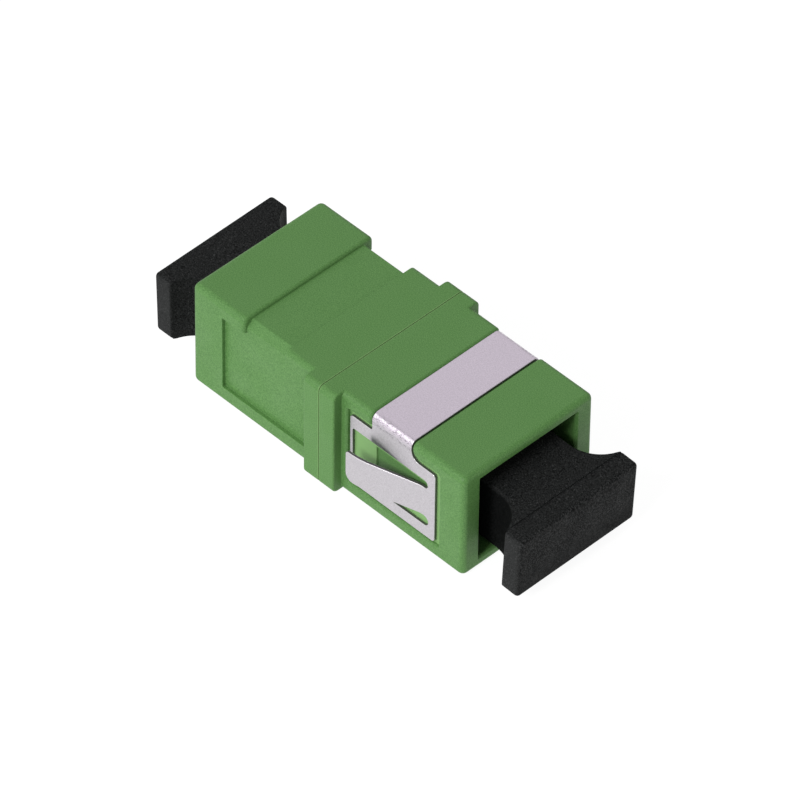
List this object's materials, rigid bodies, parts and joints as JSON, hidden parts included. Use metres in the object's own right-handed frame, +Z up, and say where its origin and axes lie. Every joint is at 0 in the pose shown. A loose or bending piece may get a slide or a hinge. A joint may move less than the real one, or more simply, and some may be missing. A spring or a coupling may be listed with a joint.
{
  "type": "sc fibre adapter",
  "caption": "Green simplex fibre optic adapter: square through-port housing with a low flange, sprung steel panel clip, inner latch hooks, ceramic split sleeve and black dust caps.",
  "frame": {"origin": "centre of the mating plane where the two housing halves meet, on the fibre axis", "axes": "+X along the fibre axis towards the clip end, +Y across the wide side, +Z up through the wide face that carries the clip's strap"},
  "size_m": [0.0361, 0.015, 0.0094],
  "materials": {
    "green_housing": "satin moulded thermoplastic with a fine eroded grain",
    "insert_plastic": "natural moulded thermoplastic",
    "sleeve_ceramic": "ground zirconia",
    "clip_steel": "satin stainless spring sheet",
    "cap_plastic": "soft matt moulded cap with fine grain"
  },
  "bodies": {
    "housing": {"rear_housing": "green_housing", "front_housing": "green_housing", "rear_latch_insert": "insert_plastic", "front_latch_insert": "insert_plastic", "split_sleeve": "sleeve_ceramic", "panel_clip": "clip_steel"},
    "rear_cap": {"rear_dust_cap": "cap_plastic"},
    "front_cap": {"front_dust_cap": "cap_plastic"}
  },
  "joints": [
    {"name": "rear_cap_pull", "type": "slide", "parent": "housing", "child": "rear_cap", "axis": [-1, 0, 0], "range_m": [0, 0.035]},
    {"name": "front_cap_pull", "type": "slide", "parent": "housing", "child": "front_cap", "axis": [1, 0, 0], "range_m": [0, 0.035]}
  ]
}
